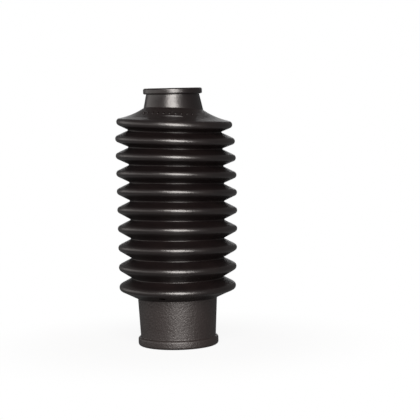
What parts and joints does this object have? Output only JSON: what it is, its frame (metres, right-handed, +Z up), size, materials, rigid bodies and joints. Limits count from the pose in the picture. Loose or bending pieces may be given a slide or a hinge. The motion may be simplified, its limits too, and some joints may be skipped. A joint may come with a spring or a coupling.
{
  "type": "fork gaiter",
  "caption": "Moulded black rubber bellows that covers a motorcycle fork tube, with a wide beaded cuff below, a narrow beaded neck above and a small breather hole under its lowest fold.",
  "frame": {"origin": "centre of the lower rim, on the plane that the gaiter stands on", "axes": "+Z up the fork along the gaiter's axis, from the wide cuff to the narrow neck; -Y is the front, where the breather hole shows, 17 degrees towards -X"},
  "size_m": [0.1, 0.1, 0.214],
  "materials": {
    "rubber": "satin black moulded rubber with a fine grain"
  },
  "bodies": {
    "root": {"gaiter": "rubber"}
  },
  "joints": []
}
